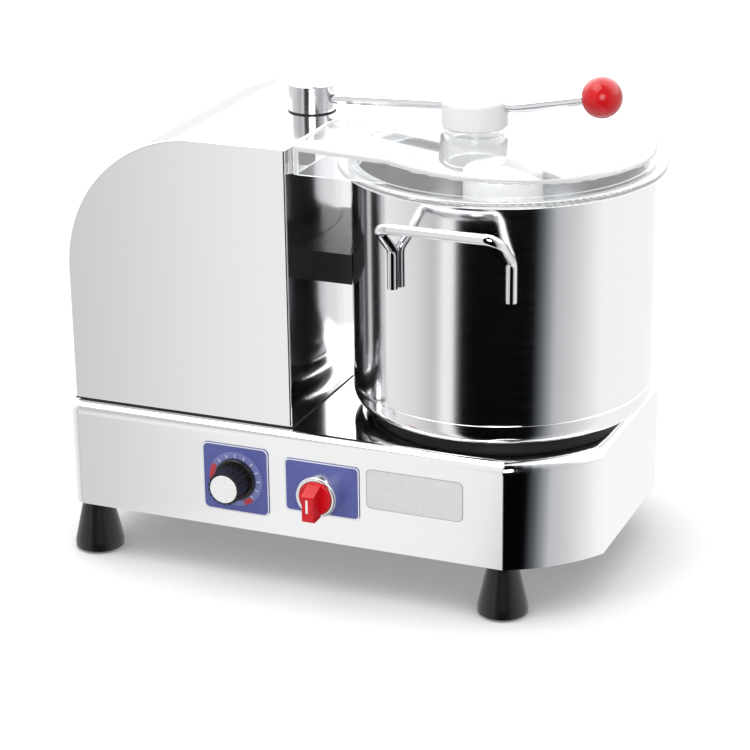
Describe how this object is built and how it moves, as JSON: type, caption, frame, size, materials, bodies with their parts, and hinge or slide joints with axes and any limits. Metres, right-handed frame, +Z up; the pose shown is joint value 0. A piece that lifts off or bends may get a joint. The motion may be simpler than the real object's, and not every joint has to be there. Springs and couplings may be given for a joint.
{
  "type": "bowl cutter",
  "caption": "Table-top bowl cutter for mincing meat: round steel bowl with a belt-driven sickle blade unit, clear lid with a feed chimney and swinging clamp arm, beside a motor housing.",
  "frame": {"origin": "on the table, in the middle of the machine's box", "axes": "+X from the motor housing towards the bowl, -Y towards the front with its controls, +Z up"},
  "size_m": [0.4108, 0.2758, 0.3595],
  "materials": {
    "satin_steel": "satin brushed",
    "base_steel": "satin",
    "polished_steel": "polished",
    "machined_steel": "turned",
    "blade_steel": "ground",
    "zinc_screws": "zinc plated",
    "bearing_steel": "ground",
    "cast_housing": "cast",
    "black_rubber": "satin",
    "clear_plastic": "clear, glossy",
    "white_plastic": "smooth",
    "black_plastic": "smooth",
    "red_plastic": "glossy",
    "violet_plate": "printed",
    "pale_label": "printed, blank",
    "satin_aluminium": "satin",
    "circuit_board": "solder resist"
  },
  "bodies": {
    "machine": {"base_floor": "base_steel", "base_shell": "base_steel", "bearing_housing": "cast_housing", "bowl": "polished_steel", "bowl_base": "polished_steel", "bowl_guide_block": "white_plastic", "bowl_handle_front": "polished_steel", "bowl_handle_rear": "polished_steel", "bowl_seat_ring": "base_steel", "bowl_tube": "polished_steel", "cable_gland": "black_plastic", "control_board": "circuit_board", "drive_belt": "black_rubber", "foot_bolts": "zinc_screws", "foot_front_left": "black_rubber", "foot_front_right": "black_rubber", "foot_rear_left": "black_rubber", "foot_rear_right": "black_rubber", "gaskets": "black_rubber", "housing_shell": "satin_steel", "interlock_switch": "black_plastic", "label_plate": "pale_label", "lid": "clear_plastic", "lid_chimney": "clear_plastic", "lid_magnet": "black_plastic", "lid_rim": "clear_plastic", "lid_side": "clear_plastic", "machine_screws": "zinc_screws", "motor_body": "cast_housing", "motor_end_cap": "cast_housing", "post_bush": "machined_steel", "potentiometer": "satin_aluminium", "rear_vent_cover": "polished_steel", "selector_barrel": "black_plastic", "selector_bezel": "satin_aluminium", "selector_contacts": "black_plastic", "selector_plate": "violet_plate", "speed_plate": "violet_plate", "spindle_bearings": "bearing_steel", "spindle_seal": "black_rubber"},
    "drive": {"spindle": "machined_steel", "driven_pulley": "cast_housing", "blade_hub": "machined_steel", "lower_blade": "blade_steel", "blade_rings": "machined_steel", "upper_blade": "blade_steel", "hub_cap": "white_plastic"},
    "motor_rotor": {"motor_shaft": "machined_steel", "motor_pulley": "cast_housing"},
    "clamp_arm": {"arm_head": "machined_steel", "clamp_arm": "machined_steel", "clamp_knob": "white_plastic", "ball_grip": "red_plastic", "arm_post": "machined_steel", "interlock_cam": "machined_steel"},
    "speed_knob": {"speed_knob": "black_plastic", "speed_knob_cap": "white_plastic", "potentiometer_shaft": "machined_steel"},
    "selector": {"selector_handle": "red_plastic", "selector_shaft": "black_plastic"}
  },
  "joints": [
    {"name": "drive_spin", "type": "hinge", "parent": "machine", "child": "drive", "pos_m": [0.09125, 0.00486, 0.1242], "axis": [0, 0, 1], "continuous": true},
    {"name": "motor_spin", "type": "hinge", "parent": "machine", "child": "motor_rotor", "pos_m": [-0.11245, -0.00534, 0.117], "axis": [0, 0, 1], "continuous": true},
    {"name": "arm_swing", "type": "hinge", "parent": "machine", "child": "clamp_arm", "pos_m": [-0.05255, 0.00486, 0.3185], "axis": [0, 0, 1], "range_deg": [0, 110]},
    {"name": "speed_turn", "type": "hinge", "parent": "machine", "child": "speed_knob", "pos_m": [-0.06685, -0.10934, 0.0772], "axis": [0, 1, 0], "range_deg": [0, 270]},
    {"name": "selector_turn", "type": "hinge", "parent": "machine", "child": "selector", "pos_m": [0.00075, -0.10934, 0.0786], "axis": [0, 1, 0], "range_deg": [-45, 45]}
  ],
  "couplings": [
    {"joint": "motor_spin", "follows": "drive_spin", "ratio": 3.0556}
  ]
}
